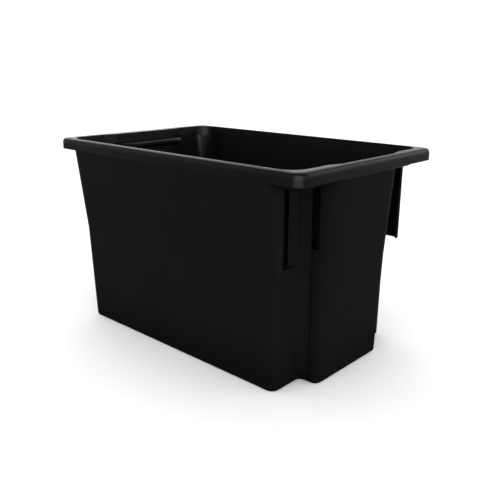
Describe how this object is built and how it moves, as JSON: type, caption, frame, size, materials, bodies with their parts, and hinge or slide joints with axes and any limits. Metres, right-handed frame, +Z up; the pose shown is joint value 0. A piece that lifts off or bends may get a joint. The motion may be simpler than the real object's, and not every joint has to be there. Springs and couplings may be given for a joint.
{
  "type": "nesting crate",
  "caption": "Open-topped black plastic stack-and-nest crate with tapered walls, notched corners at one end, stacking shelves under a rolled rim and a plain floor.",
  "frame": {"origin": "centre of the overall box at floor level, under the crate", "axes": "+X along the length towards the end with the notched corners, +Y across towards the back long wall, +Z up"},
  "size_m": [0.645, 0.413, 0.397],
  "materials": {
    "black_plastic": "satin, fine moulded texture"
  },
  "bodies": {
    "root": {"base_tray": "black_plastic", "front_wall": "black_plastic", "back_wall": "black_plastic", "right_end_wall": "black_plastic", "left_end_wall": "black_plastic", "front_right_corner_post": "black_plastic", "back_right_corner_post": "black_plastic", "front_left_corner_post": "black_plastic", "back_left_corner_post": "black_plastic", "front_apron": "black_plastic", "back_apron": "black_plastic", "right_end_apron": "black_plastic", "front_rim_rail": "black_plastic", "back_rim_rail": "black_plastic", "right_rim_rail": "black_plastic", "left_rim_rail": "black_plastic", "front_right_rim_corner": "black_plastic", "back_right_rim_corner": "black_plastic", "front_left_rim_corner": "black_plastic", "back_left_rim_corner": "black_plastic", "left_end_shelf": "black_plastic", "front_right_corner_shelf": "black_plastic", "back_right_corner_shelf": "black_plastic", "front_right_shelf_rib": "black_plastic", "back_right_shelf_rib": "black_plastic", "left_shelf_rib_front": "black_plastic", "left_shelf_rib_back": "black_plastic", "front_right_notch_web": "black_plastic", "back_right_notch_web": "black_plastic"}
  },
  "joints": []
}
